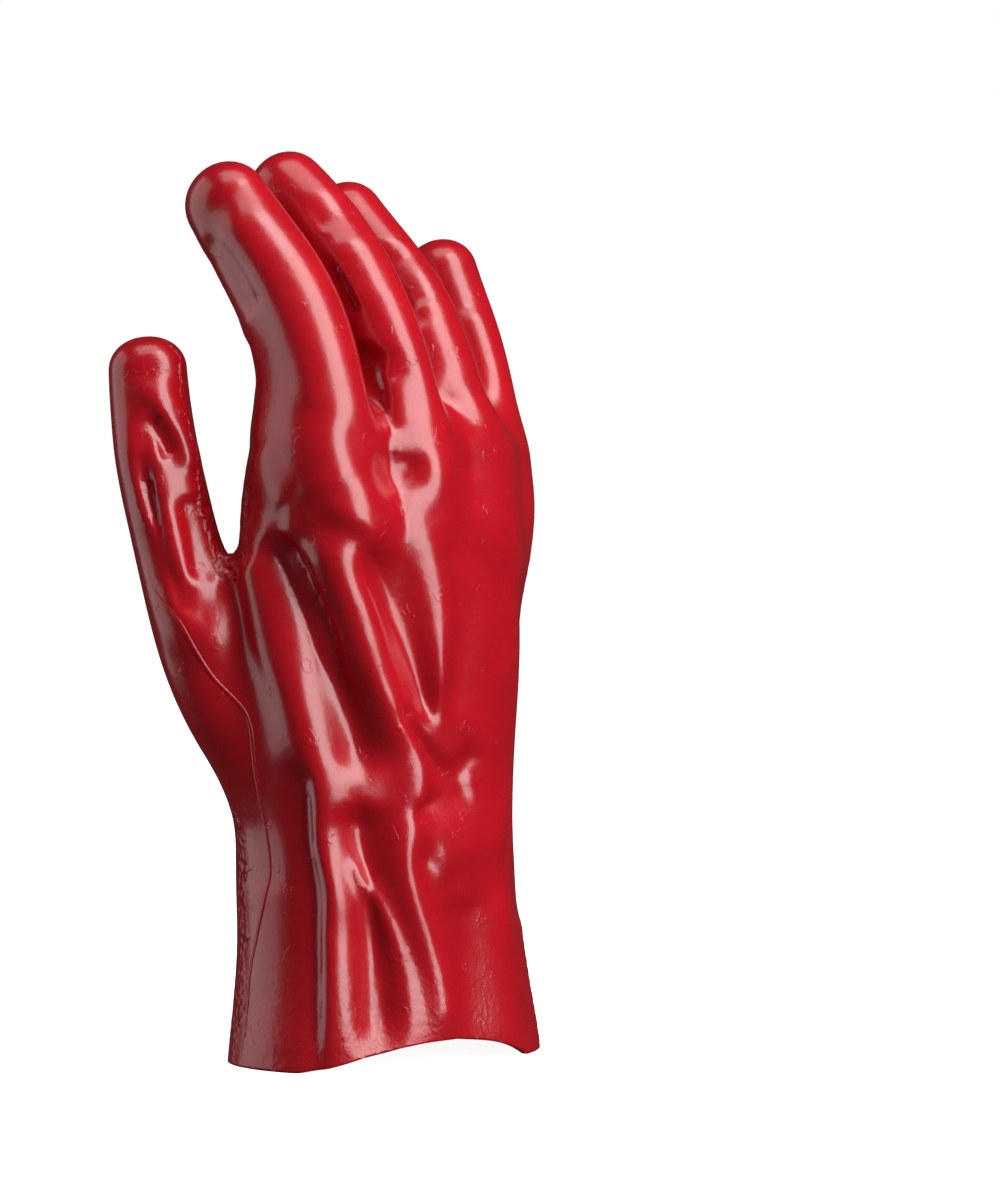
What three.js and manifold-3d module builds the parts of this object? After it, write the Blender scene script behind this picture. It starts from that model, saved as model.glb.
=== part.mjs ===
// A right-hand work glove, dipped in one piece in thick red PVC from the fingertips to its open hem.
// It stands on the hem, fingers up, with the back of the hand towards -Y and the thumb towards -X.
// Millimetres, +Z up, origin under the middle of the glove.
import * as THREE from 'three';
import Module from 'manifold-3d';

const wasm = await Module();
wasm.setup();

// Sizes of the glove
const CUFF_LENGTH = 70; // hem to wrist
const PALM_LENGTH = 104; // wrist to the roots of the fingers
const CUFF_WIDTH = 102;
const CUFF_DEPTH = 70;
const WRIST_WIDTH = 92;
const WRIST_DEPTH = 66;
const PALM_WIDTH = 104;
const PALM_DEPTH = 52;
const INDEX_LENGTH = 92; // root to tip, along the finger
const MIDDLE_LENGTH = 98;
const RING_LENGTH = 88;
const LITTLE_LENGTH = 64;
const THUMB_LENGTH = 152; // wrist to tip
const FINGER_WIDTH = 24;
const FINGER_DEPTH = 30;
const WALL = 1.6; // coating and knitted hand together
const HEM_ARCH = 8; // how far the hem lifts at the back of the hand
const HEM_ARCH_SPAN = 76;
const HEM_ARCH_X = -12; // the arch's middle, to the thumb's side of the glove's
const WEB = 12; // rounding between the digits and the palm
const INNER_ROUNDING = 0.7; // the same on the inside, as a share: the coating pools in the corners
const COLOUR = 0xa80a16;

// How finely the skin is meshed: across the glove, from back to palm, and up
const MESH_STEP = { x: 3.9, y: 6.4, z: 8.6 };

// Gives each row of a table the names of its columns.
function table(columns, rows) {
  return rows.map((row) => Object.fromEntries(columns.map((name, i) => [name, row[i]])));
}

// Hand and cuff, a row for each section from below the hem to the roots of the fingers. Level is 0 at
// the hem, 1 at the wrist and 2 at the roots. The shifts are shares of the palm's width and depth, the
// width and depth are shares of the size at that level.
const BODY = table(
  ['along', 'shiftX', 'shiftY', 'width', 'depth'],
  [
    [-0.15, -0.005, 0.02, 1.0, 1.0],
    [0.0, -0.005, 0.02, 1.0, 1.0],
    [0.45, -0.01, 0.04, 0.94, 0.97],
    [0.8, -0.015, 0.05, 0.96, 0.98],
    [1.15, -0.015, 0.05, 0.99, 1.0],
    [1.5, -0.015, 0.02, 0.98, 1.04],
    [1.8, -0.01, 0.0, 0.97, 0.98],
    [2.0, 0.0, -0.04, 0.93, 0.78],
  ],
);

// Digits: where each starts inside the hand (shares of the palm, and a level), its length, its share of
// a finger's width and depth, and how far it is turned about its own length, in degrees.
const DIGITS = table(
  ['name', 'rootX', 'rootY', 'level', 'length', 'width', 'depth', 'twist'],
  [
    ['index', -0.335, -0.14, 1.55, INDEX_LENGTH, 0.98, 1.0, 0],
    ['middle', -0.065, -0.2, 1.55, MIDDLE_LENGTH, 0.92, 0.9, 0],
    ['ring', 0.2, -0.07, 1.55, RING_LENGTH, 0.9, 0.87, 0],
    ['little', 0.415, 0.08, 1.55, LITTLE_LENGTH, 0.88, 0.8, 0],
    ['thumb', -0.26, 0.13, 0.95, THUMB_LENGTH, 1.04, 0.77, -50],
  ],
);

// Each digit's sections: share of its length, lean to the side and curl towards the palm in degrees,
// and shares of the digit's width and depth.
const SECTION = ['along', 'lean', 'curl', 'width', 'depth'];
const SECTIONS = {
  index: table(SECTION, [
    [0.0, -2, 0, 0.8, 0.9],
    [0.25, -2, 2, 1.0, 1.3],
    [0.42, 1, 6, 1.06, 1.22],
    [0.62, 0, 19, 1.04, 1.12],
    [0.82, -8, 34, 1.0, 1.0],
    [1.0, -9, 34, 0.94, 0.86],
  ]),
  middle: table(SECTION, [
    [0.0, 0, 0, 0.8, 0.9],
    [0.25, 0, 2, 1.0, 1.3],
    [0.42, 0, 8, 1.0, 1.2],
    [0.62, -3, 23, 1.0, 1.05],
    [0.82, -5, 38, 1.0, 1.0],
    [1.0, -5, 50, 0.98, 0.92],
  ]),
  ring: table(SECTION, [
    [0.0, 1, 0, 0.8, 0.9],
    [0.25, 1, 2, 1.0, 1.3],
    [0.42, 0, 8, 1.0, 1.2],
    [0.62, -2, 23, 1.0, 1.05],
    [0.82, -5, 41, 1.0, 1.0],
    [1.0, -5, 40, 0.97, 0.9],
  ]),
  little: table(SECTION, [
    [0.0, 5, 0, 0.8, 0.9],
    [0.25, 5, 2, 1.0, 1.3],
    [0.42, 4, 8, 1.0, 1.2],
    [0.62, 3, 16, 1.0, 1.05],
    [0.82, 2, 24, 1.0, 1.0],
    [1.0, 2, 22, 0.97, 0.9],
  ]),
  thumb: table(SECTION, [
    [0.0, -29, 22, 0.9, 1.2],
    [0.25, -23, 20, 1.0, 1.2],
    [0.5, -8, 12, 1.0, 1.15],
    [0.75, -6, 11, 0.98, 1.05],
    [1.0, 4, 8, 0.9, 0.9],
  ]),
};

// Folds and dents. Reach (half the fold's width) and rise (below 0 for a valley) are shares of the palm's
// width. The path is a list of points: the chain that carries it, how far along it, and the turn round it
// in degrees, 0 at the back of the hand, 90 at the little finger's side and 180 on the palm.
const FOLDS = table(
  ['reach', 'rise', 'path'],
  [
    // back of the hand: long folds from the knuckles down to the wrist
    [0.14, 0.022, [
      ['body', 1.86, -88], ['body', 1.68, -80], ['body', 1.48, -67], ['body', 1.32, -57],
      ['body', 1.16, -53],
    ]],
    [0.12, -0.024, [
      ['body', 1.96, -66], ['body', 1.74, -59], ['body', 1.52, -50], ['body', 1.28, -39],
      ['body', 1.1, -33],
    ]],
    [0.12, 0.024, [['body', 1.86, -54], ['body', 1.64, -46], ['body', 1.44, -37], ['body', 1.27, -26]]],
    [0.11, -0.02, [['body', 1.84, -37], ['body', 1.62, -27], ['body', 1.42, -19], ['body', 1.32, -16]]],
    [0.1, 0.018, [['body', 1.9, -18], ['body', 1.66, -9], ['body', 1.42, -7], ['body', 1.26, -10]]],
    [0.1, -0.012, [['body', 1.8, 3], ['body', 1.6, 10], ['body', 1.4, 15], ['body', 1.26, 18]]],
    [0.07, 0.01, [['body', 1.9, 12], ['body', 1.68, 19], ['body', 1.5, 24]]],
    // wrist
    [0.07, 0.02, [['body', 1.22, -28], ['body', 1.08, -28], ['body', 0.92, -32], ['body', 0.78, -34]]],
    [0.08, -0.02, [['body', 1.18, -38], ['body', 1.02, -38], ['body', 0.86, -40]]],
    [0.11, -0.018, [['body', 1.3, -26], ['body', 1.18, -11], ['body', 1.2, 10], ['body', 1.3, 32]]],
    // cuff
    [0.1, 0.024, [
      ['body', 1.28, -64], ['body', 1.06, -64], ['body', 0.82, -59], ['body', 0.5, -55],
      ['body', -0.1, -54],
    ]],
    [0.07, -0.016, [['body', 1.1, -71], ['body', 0.82, -69], ['body', 0.5, -68], ['body', -0.1, -67]]],
    [0.09, -0.014, [['body', 0.86, -50], ['body', 0.56, -47], ['body', 0.3, -43], ['body', -0.1, -41]]],
    [0.09, 0.014, [['body', 0.8, -44], ['body', 0.54, -37], ['body', 0.28, -31], ['body', -0.1, -27]]],
    [0.09, -0.012, [['body', 0.66, -26], ['body', 0.4, -23], ['body', 0.14, -20], ['body', -0.1, -19]]],
    [0.1, 0.012, [['body', 0.62, -16], ['body', 0.38, -12], ['body', -0.1, -10]]],
    // knuckles: a curved ridge round the hollow between the first two
    [0.07, 0.02, [
      ['index', 0.48, -34], ['index', 0.37, -26], ['index', 0.3, -10], ['body', 1.87, -46],
      ['body', 1.9, -34], ['body', 1.95, -20],
    ]],
    [0.12, -0.03, [['index', 0.42, 34], ['index', 0.36, 32], ['index', 0.32, 30]]],
    // forefinger: flattened side and the dent over the joint
    [0.15, -0.024, [
      ['index', 0.66, -96], ['index', 0.54, -90], ['index', 0.42, -85], ['index', 0.32, -78],
    ]],
    [0.08, 0.012, [['index', 0.66, -22], ['index', 0.54, -16], ['index', 0.44, -14]]],
    [0.1, -0.02, [['index', 0.84, -84], ['index', 0.77, -76], ['index', 0.7, -68]]],
    [0.07, 0.014, [['index', 0.98, -40], ['index', 0.86, -44], ['index', 0.76, -36], ['index', 0.68, -32]]],
    // middle finger
    [0.09, -0.016, [
      ['middle', 0.94, -84], ['middle', 0.92, -50], ['middle', 0.9, -20], ['middle', 0.91, 20],
    ]],
    [0.08, -0.014, [['middle', 0.8, -60], ['middle', 0.74, -40], ['middle', 0.68, -30]]],
    // ring finger
    [0.1, -0.016, [['ring', 0.84, -30], ['ring', 0.76, -34], ['ring', 0.66, -44]]],
    [0.07, 0.012, [['ring', 0.44, -34], ['ring', 0.42, -10], ['ring', 0.4, 14]]],
    // little finger
    [0.07, 0.014, [['little', 0.74, 4], ['little', 0.6, -4], ['little', 0.46, -14], ['little', 0.36, -22]]],
    [0.08, -0.014, [['little', 0.7, -32], ['little', 0.56, -38], ['little', 0.44, -44]]],
    // thumb: hollow back between two ridges, which meet round its root
    [0.1, -0.022, [['thumb', 0.9, 22], ['thumb', 0.78, 24], ['thumb', 0.66, 25], ['thumb', 0.56, 26]]],
    [0.07, 0.016, [
      ['thumb', 0.95, -16], ['thumb', 0.82, -31], ['thumb', 0.7, -35], ['thumb', 0.58, -22],
      ['thumb', 0.5, 17],
    ]],
    [0.07, 0.016, [['body', 1.98, -98], ['body', 1.86, -98], ['body', 1.74, -98], ['body', 1.62, -104]]],
    [0.09, -0.014, [['thumb', 0.46, -16], ['thumb', 0.38, -12], ['thumb', 0.3, -8]]],
    // palm: its hollow, the folds at its heel, and the creases inside the joints
    [0.3, -0.06, [['body', 1.8, 172], ['body', 1.56, 176], ['body', 1.34, 178]]],
    [0.11, -0.02, [['body', 1.3, 222], ['body', 1.24, 196], ['body', 1.26, 168]]],
    [0.11, -0.014, [['body', 1.06, 204], ['body', 1.02, 180], ['body', 1.08, 154]]],
    [0.1, -0.018, [['index', 0.62, 136], ['index', 0.63, 180], ['index', 0.62, 224]]],
    [0.1, -0.018, [['middle', 0.62, 136], ['middle', 0.63, 180], ['middle', 0.62, 224]]],
    [0.1, -0.018, [['ring', 0.62, 136], ['ring', 0.63, 180], ['ring', 0.62, 224]]],
    [0.1, -0.018, [['little', 0.62, 136], ['little', 0.63, 180], ['little', 0.62, 224]]],
    [0.1, -0.014, [['thumb', 0.72, 130], ['thumb', 0.73, 180], ['thumb', 0.72, 230]]],
    // little finger's side of the hand, and the cuff below the palm
    [0.12, -0.016, [['body', 1.1, 60], ['body', 0.8, 56], ['body', 0.5, 52]]],
    [0.12, 0.014, [['body', 0.96, 86], ['body', 0.6, 86], ['body', 0.0, 82]]],
    [0.12, -0.018, [['body', 0.9, 122], ['body', 0.5, 126], ['body', 0.0, 122]]],
    [0.12, 0.014, [['body', 0.8, 158], ['body', 0.4, 154], ['body', 0.0, 156]]],
    [0.12, -0.016, [['body', 0.96, 206], ['body', 0.6, 202], ['body', 0.0, 206]]],
  ],
);

const BODY_SECTIONS = 36;
const DIGIT_SECTIONS = 22;
const FOLD_STEPS = 6; // pieces of a fold between two of its points
const BODY_SQUARENESS = 2.35; // 2 is an ellipse, more is nearer to a rectangle
const DIGIT_SQUARENESS = 2.1;
const BODY_END = 16; // how far the hand rounds off past its last section
const DIGIT_END = 0.42; // the same for a digit, as a share of its depth
const FOLD_FADE = 0.22; // share of a fold's length over which it fades in and out
const FAR = 1e3; // further than any two places on the glove
const TINY = 1e-6; // keeps a division away from 0
const BARELY_INSIDE = -1e-3; // the distance given to a corner that is filled
const LEAST_SLOPE = 0.05; // squared, for a step towards the skin
const PROBE = 0.2; // how far apart two distances are taken to find a slope
const STEPS_BELOW_HEM = 1.5; // how far the grid reaches below the hem
const ARCH_FACETS = 120;
const BORDER_CROSSING = 0.5; // where an edge to the grid's border is cut

const radians = THREE.MathUtils.degToRad;

// A smooth curve through rows of equal columns, sampled at a number of places.
function smoothRows(rows, count) {
  const last = rows.length - 1;
  const before = rows[0].map((v, c) => 2 * v - rows[1][c]);
  const after = rows[last].map((v, c) => 2 * v - rows[last - 1][c]);
  const padded = [before, ...rows, after];
  return Array.from({ length: count }, (_, k) => {
    const t = (last * k) / (count - 1);
    const i = Math.min(Math.floor(t), last - 1);
    const f = t - i;
    const [p0, p1, p2, p3] = padded.slice(i, i + 4);
    return p1.map((v, c) => {
      const slope = p2[c] - p0[c];
      const square = 2 * p0[c] - 5 * v + 4 * p2[c] - p3[c];
      const cube = 3 * v - p0[c] - 3 * p2[c] + p3[c];
      return 0.5 * (2 * v + slope * f + square * f * f + cube * f * f * f);
    });
  });
}

const columns = (rows, names) => rows.map((row) => names.map((name) => row[name]));

// Height of a level, and a size there between those of the cuff, the wrist and the palm.
const heightOf = (level) => CUFF_LENGTH * Math.min(level, 1) + PALM_LENGTH * Math.max(level - 1, 0);

function sizeAt(level, cuff, wrist, palm) {
  const t = THREE.MathUtils.clamp(level, 0, 2);
  return t < 1 ? cuff + (wrist - cuff) * t : wrist + (palm - wrist) * (t - 1);
}

// The hand and cuff as a chain of sections: a centre, two half sizes, and the directions that they lie in.
function bodyChain() {
  const rows = smoothRows(columns(BODY, ['along', 'shiftX', 'shiftY', 'width', 'depth']), BODY_SECTIONS);
  const sections = rows.map(([along, shiftX, shiftY, width, depth]) => ({
    along,
    centre: new THREE.Vector3(shiftX * PALM_WIDTH, shiftY * PALM_DEPTH, heightOf(along)),
    side: new THREE.Vector3(1, 0, 0),
    front: new THREE.Vector3(0, 1, 0),
    wide: (width * sizeAt(along, CUFF_WIDTH, WRIST_WIDTH, PALM_WIDTH)) / 2,
    deep: (depth * sizeAt(along, CUFF_DEPTH, WRIST_DEPTH, PALM_DEPTH)) / 2,
  }));
  return { sections, end: BODY_END, squareness: BODY_SQUARENESS };
}

// A digit as a chain: it starts inside the hand and bends as its rows say.
function digitChain(digit) {
  const depth = digit.depth * FINGER_DEPTH;
  const width = digit.width * FINGER_WIDTH;
  const end = DIGIT_END * depth;
  const buried = digit.level > 1 ? heightOf(2) - heightOf(digit.level) : 0;
  const length = buried + digit.length - end;
  const rows = smoothRows(columns(SECTIONS[digit.name], SECTION), DIGIT_SECTIONS);
  const centre = new THREE.Vector3(digit.rootX * PALM_WIDTH, digit.rootY * PALM_DEPTH, heightOf(digit.level));
  const turned = new THREE.Vector3(Math.cos(radians(digit.twist)), Math.sin(radians(digit.twist)), 0);
  const sections = [];
  for (const [along, lean, curl, wideShare, deepShare] of rows) {
    const up = new THREE.Vector3(
      Math.sin(radians(lean)),
      Math.cos(radians(lean)) * Math.sin(radians(curl)),
      Math.cos(radians(lean)) * Math.cos(radians(curl)),
    );
    const previous = sections.at(-1);
    if (previous) {
      const step = (length * (along - previous.along)) / 2;
      centre.addScaledVector(previous.up, step).addScaledVector(up, step);
    }
    const side = turned.clone().addScaledVector(up, -turned.dot(up)).normalize();
    const front = new THREE.Vector3().crossVectors(up, side);
    const wide = (wideShare * width) / 2;
    const deep = (deepShare * depth) / 2;
    sections.push({ along, up, centre: centre.clone(), side, front, wide, deep });
  }
  return { sections, end, squareness: DIGIT_SQUARENESS };
}

// Distance, below 0 inside, from a point to the skin of a chain.
function chainDistance({ sections, end, squareness }, point) {
  let nearest = FAR;
  for (let i = 0; i + 1 < sections.length; i += 1) {
    const a = sections[i];
    const b = sections[i + 1];
    const px = point.x - a.centre.x;
    const py = point.y - a.centre.y;
    const pz = point.z - a.centre.z;
    const reach = Math.max(a.wide, a.deep, b.wide, b.deep) + end;
    const dx = b.centre.x - a.centre.x;
    const dy = b.centre.y - a.centre.y;
    const dz = b.centre.z - a.centre.z;
    const length = Math.hypot(dx, dy, dz);
    if (Math.hypot(px, py, pz) - length - reach > nearest) {
      continue;
    }
    const along = (px * dx + py * dy + pz * dz) / (length * length);
    const t = THREE.MathUtils.clamp(along, 0, 1);
    const rx = px - t * dx;
    const ry = py - t * dy;
    const rz = pz - t * dz;
    const mix = (from, to) => from + (to - from) * t;
    const alongMixed = (from, to) => rx * mix(from.x, to.x) + ry * mix(from.y, to.y) + rz * mix(from.z, to.z);
    const onSide = alongMixed(a.side, b.side);
    const onFront = alongMixed(a.front, b.front);
    const wide = mix(a.wide, b.wide);
    const deep = mix(a.deep, b.deep);
    const past = (along - t) * length;
    const u = Math.abs(onSide) / wide;
    const v = Math.abs(onFront) / deep;
    const w = Math.abs(past) / end;
    const sum = u ** squareness + v ** squareness + w ** squareness;
    const scale = Math.max(sum ** (1 / squareness), TINY);
    const power = squareness - 1;
    const steepness = Math.hypot(u ** power / wide, v ** power / deep, w ** power / end) * scale ** -power;
    nearest = Math.min(nearest, (scale - 1) / Math.max(steepness, TINY));
  }
  return nearest;
}

// What the rounding of a corner takes off the lower of two distances.
function rounded(a, b, rounding) {
  const overlap = Math.max(rounding - Math.abs(a - b), 0);
  return (overlap * overlap) / (4 * rounding);
}

const body = bodyChain();
const digits = DIGITS.map(digitChain);
const chainOf = { body };
DIGITS.forEach((digit, i) => {
  chainOf[digit.name] = digits[i];
});

// A point on the skin of a chain, by its place along it and its turn round it.
function skinPoint([name, along, turn]) {
  const { sections, squareness } = chainOf[name];
  const next = sections.findIndex((section) => section.along >= along);
  const i = next < 0 ? sections.length - 2 : Math.max(next - 1, 0);
  const a = sections[i];
  const b = sections[i + 1];
  const t = THREE.MathUtils.clamp((along - a.along) / (b.along - a.along), 0, 1);
  const wide = a.wide + (b.wide - a.wide) * t;
  const deep = a.deep + (b.deep - a.deep) * t;
  const u = Math.sin(radians(turn));
  const v = -Math.cos(radians(turn));
  const k = (Math.abs(u / wide) ** squareness + Math.abs(v / deep) ** squareness) ** (-1 / squareness);
  const side = a.side.clone().lerp(b.side, t);
  const front = a.front.clone().lerp(b.front, t);
  return a.centre.clone().lerp(b.centre, t).addScaledVector(side, u * k).addScaledVector(front, v * k);
}

const folds = FOLDS.map(({ reach, rise, path }) => {
  const places = path.map((place) => skinPoint(place).toArray());
  const rows = smoothRows(places, FOLD_STEPS * (path.length - 1) + 1);
  const points = rows.map((row) => new THREE.Vector3(...row));
  const box = new THREE.Box3().setFromPoints(points).expandByScalar(reach * PALM_WIDTH);
  return { points, box, reach: reach * PALM_WIDTH, rise: rise * PALM_WIDTH };
});

// How far the folds lift the skin at a point.
function foldLift(point) {
  let lift = 0;
  const line = new THREE.Line3();
  const nearest = new THREE.Vector3();
  for (const { points, box, reach, rise } of folds) {
    if (!box.containsPoint(point)) {
      continue;
    }
    let least = FAR * FAR;
    let place = 0;
    for (let i = 0; i + 1 < points.length; i += 1) {
      line.set(points[i], points[i + 1]);
      const t = line.closestPointToPointParameter(point, true);
      const square = line.at(t, nearest).distanceToSquared(point);
      if (square < least) {
        least = square;
        place = (i + t) / (points.length - 1);
      }
    }
    const profile = Math.max(1 - least / (reach * reach), 0) ** 2;
    const fade = THREE.MathUtils.smoothstep(Math.min(place, 1 - place), 0, FOLD_FADE);
    lift += rise * profile * fade;
  }
  return lift;
}

// Distance from a point to the outer skin, or to the skin a wall's thickness inside it, whose corners
// are rounded less.
function gloveDistance(point, wall) {
  const hand = chainDistance(body, point);
  const web = wall > 0 ? WEB * INNER_ROUNDING : WEB;
  let skin = hand;
  for (const digit of digits) {
    const own = chainDistance(digit, point);
    skin = Math.min(skin, Math.min(hand, own) - rounded(hand, own, web));
  }
  return skin - foldLift(point) + wall;
}

// A grid of distances round the whole glove. Its border counts as outside, so every skin closes.
const bounds = new THREE.Box3();
for (const { sections, end } of [body, ...digits]) {
  for (const { centre, wide, deep } of sections) {
    bounds.union(new THREE.Box3().setFromPoints([centre]).expandByScalar(Math.max(wide, deep, end)));
  }
}
bounds.min.z = -STEPS_BELOW_HEM * MESH_STEP.z;
bounds.expandByScalar(MESH_STEP.x);
const corner = bounds.min;
const size = bounds.getSize(new THREE.Vector3());
const nodes = {
  x: Math.ceil(size.x / MESH_STEP.x) + 2,
  y: Math.ceil(size.y / MESH_STEP.y) + 2,
  z: Math.ceil(size.z / MESH_STEP.z) + 2,
};
const nodeIndex = (i, j, k) => (i * nodes.y + j) * nodes.z + k;
const nodePlace = (i, j, k) =>
  new THREE.Vector3(corner.x + i * MESH_STEP.x, corner.y + j * MESH_STEP.y, corner.z + k * MESH_STEP.z);

function gridOf(wall) {
  const values = new Float64Array(nodes.x * nodes.y * nodes.z).fill(FAR);
  for (let i = 1; i < nodes.x - 1; i += 1) {
    for (let j = 1; j < nodes.y - 1; j += 1) {
      for (let k = 1; k < nodes.z - 1; k += 1) {
        values[nodeIndex(i, j, k)] = gloveDistance(nodePlace(i, j, k), wall);
      }
    }
  }
  return values;
}

const CORNERS = [0, 1, 2, 3, 4, 5, 6, 7].map((n) => [n & 1, (n >> 1) & 1, (n >> 2) & 1]);
const EDGES = [];
for (let a = 0; a < 8; a += 1) {
  for (const bit of [1, 2, 4]) {
    if (!(a & bit)) {
      EDGES.push([a, a | bit]);
    }
  }
}
const FACES = [
  [0, 2, 6, 4], [1, 3, 7, 5], [0, 1, 5, 4], [2, 3, 7, 6], [0, 1, 3, 2], [4, 5, 7, 6],
];

function forEachCell(visit) {
  for (let i = 0; i + 1 < nodes.x; i += 1) {
    for (let j = 0; j + 1 < nodes.y; j += 1) {
      for (let k = 0; k + 1 < nodes.z; k += 1) {
        visit(i, j, k, CORNERS.map(([a, b, c]) => nodeIndex(i + a, j + b, k + c)));
      }
    }
  }
}

// Whether the corners on one side of the skin hang together along the cell's edges.
function joined(inside, wanted) {
  const members = CORNERS.map((_, n) => n).filter((n) => inside[n] === wanted);
  const reached = new Set(members.slice(0, 1));
  for (let pass = 0; pass < members.length; pass += 1) {
    for (const [a, b] of EDGES) {
      if (inside[a] === wanted && inside[b] === wanted && (reached.has(a) || reached.has(b))) {
        reached.add(a).add(b);
      }
    }
  }
  return reached.size === members.length;
}

// Fills the weakest outside corner of each cell that the skin would pass through twice.
function settle(values) {
  let changed = true;
  while (changed) {
    changed = false;
    forEachCell((i, j, k, at) => {
      const inside = at.map((n) => values[n] < 0);
      if (inside.every((v) => v) || !inside.some((v) => v)) {
        return;
      }
      const checkered = FACES.some(
        ([a, b, c, d]) => inside[a] === inside[c] && inside[b] === inside[d] && inside[a] !== inside[b],
      );
      if (!checkered && joined(inside, true) && joined(inside, false)) {
        return;
      }
      const outside = at.filter((n) => values[n] >= 0);
      const weakest = outside.reduce((a, b) => (values[b] < values[a] ? b : a));
      values[weakest] = BARELY_INSIDE;
      changed = true;
    });
  }
}

// Meshes the outer skin, or the one that lies a wall's thickness inside it, as a closed solid.
function skinSolid(wall) {
  const values = gridOf(wall);
  settle(values);
  const vertexOf = new Map();
  const vertices = [];
  forEachCell((i, j, k, at) => {
    const sum = new THREE.Vector3();
    let crossings = 0;
    for (const [a, b] of EDGES) {
      const va = values[at[a]];
      const vb = values[at[b]];
      if (va < 0 !== vb < 0) {
        const t = Math.max(va, vb) >= FAR ? BORDER_CROSSING : va / (va - vb);
        const from = new THREE.Vector3(...CORNERS[a]);
        sum.add(from.lerp(new THREE.Vector3(...CORNERS[b]), t));
        crossings += 1;
      }
    }
    if (!crossings) {
      return;
    }
    const low = nodePlace(i, j, k);
    const high = nodePlace(i + 1, j + 1, k + 1);
    const place = sum.divideScalar(crossings).multiply(high.clone().sub(low)).add(low);
    if (k > 0) {
      drawToSkin(place, wall, low, high);
    }
    vertexOf.set(nodeIndex(i, j, k), vertices.length);
    vertices.push(place);
  });
  const triangles = [];
  const addQuad = (a, b, c, d, outward) => {
    const ring = outward ? [a, b, c, d] : [d, c, b, a];
    const [p, q, r, s] = ring.map((n) => vertices[n]);
    if (p.distanceToSquared(r) < q.distanceToSquared(s)) {
      triangles.push(ring[0], ring[1], ring[2], ring[0], ring[2], ring[3]);
    } else {
      triangles.push(ring[1], ring[2], ring[3], ring[1], ring[3], ring[0]);
    }
  };
  for (let i = 0; i < nodes.x - 1; i += 1) {
    for (let j = 0; j < nodes.y - 1; j += 1) {
      for (let k = 0; k < nodes.z - 1; k += 1) {
        const here = values[nodeIndex(i, j, k)] < 0;
        const cell = (a, b, c) => vertexOf.get(nodeIndex(i - a, j - b, k - c));
        if (here !== values[nodeIndex(i + 1, j, k)] < 0) {
          addQuad(cell(0, 1, 1), cell(0, 0, 1), cell(0, 0, 0), cell(0, 1, 0), here);
        }
        if (here !== values[nodeIndex(i, j + 1, k)] < 0) {
          addQuad(cell(1, 0, 1), cell(1, 0, 0), cell(0, 0, 0), cell(0, 0, 1), here);
        }
        if (here !== values[nodeIndex(i, j, k + 1)] < 0) {
          addQuad(cell(1, 1, 0), cell(0, 1, 0), cell(0, 0, 0), cell(1, 0, 0), here);
        }
      }
    }
  }
  return solidOf(vertices.flatMap((v) => v.toArray()), triangles);
}

// Moves a vertex on to its skin, without leaving its cell.
function drawToSkin(place, wall, low, high) {
  const probe = new THREE.Vector3();
  const slope = new THREE.Vector3();
  for (let pass = 0; pass < 3; pass += 1) {
    const here = gloveDistance(place, wall);
    for (const axis of ['x', 'y', 'z']) {
      probe.copy(place);
      probe[axis] += PROBE;
      slope[axis] = (gloveDistance(probe, wall) - here) / PROBE;
    }
    place.addScaledVector(slope, -here / Math.max(slope.lengthSq(), LEAST_SLOPE));
    place.clamp(low, high);
  }
}

function solidOf(positions, triangles) {
  const mesh = new wasm.Mesh({
    numProp: 3,
    vertProperties: Float32Array.from(positions),
    triVerts: Uint32Array.from(triangles),
  });
  return new wasm.Manifold(mesh);
}

// A closed three.js geometry as a solid, its vertices merged by place.
function solidFrom(geometry) {
  const seen = new Map();
  const positions = [];
  const places = geometry.getAttribute('position');
  const numberOf = (n) => {
    const place = [places.getX(n), places.getY(n), places.getZ(n)];
    const key = place.map((v) => v.toFixed(4)).join();
    if (!seen.has(key)) {
      seen.set(key, positions.length / 3);
      positions.push(...place);
    }
    return seen.get(key);
  };
  const triangles = [];
  const index = geometry.getIndex().array;
  for (let n = 0; n < index.length; n += 3) {
    const three = [index[n], index[n + 1], index[n + 2]].map(numberOf);
    if (new Set(three).size === 3) {
      triangles.push(...three);
    }
  }
  return solidOf(positions, triangles);
}

// What is cut away below the hem: everything under the rim, and a shallow arch at the back of the hand.
function belowHem() {
  const span = Math.max(size.x, size.y) * 2;
  const floor = new THREE.BoxGeometry(span, span, span).translate(0, 0, -span / 2);
  const radius = (HEM_ARCH_SPAN ** 2 / 4 + HEM_ARCH ** 2) / (2 * HEM_ARCH);
  const arch = new THREE.CylinderGeometry(radius, radius, CUFF_DEPTH, ARCH_FACETS);
  arch.translate(0, -CUFF_DEPTH / 2, 0).translate(HEM_ARCH_X, 0, HEM_ARCH - radius);
  return [solidFrom(floor), solidFrom(arch)];
}

// The glove: the outer skin less the hollow inside it, open at the hem.
function gloveShell() {
  let shell = skinSolid(0).subtract(skinSolid(WALL));
  for (const cut of belowHem()) {
    shell = shell.subtract(cut);
  }
  const { vertProperties, triVerts } = shell.getMesh();
  const geometry = new THREE.BufferGeometry();
  geometry.setAttribute('position', new THREE.BufferAttribute(vertProperties, 3));
  geometry.setIndex(new THREE.BufferAttribute(triVerts, 1));
  geometry.computeVertexNormals();
  return geometry;
}

const coating = new THREE.MeshStandardMaterial({ color: COLOUR, roughness: 0.28, metalness: 0 });
const shell = new THREE.Mesh(gloveShell(), coating);
shell.name = 'glove_shell';
shell.geometry.computeBoundingBox();
const middle = shell.geometry.boundingBox.getCenter(new THREE.Vector3());
shell.position.set(-middle.x, -middle.y, 0);

const glove = new THREE.Group();
glove.add(shell);

export default glove;
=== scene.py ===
import math

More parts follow.
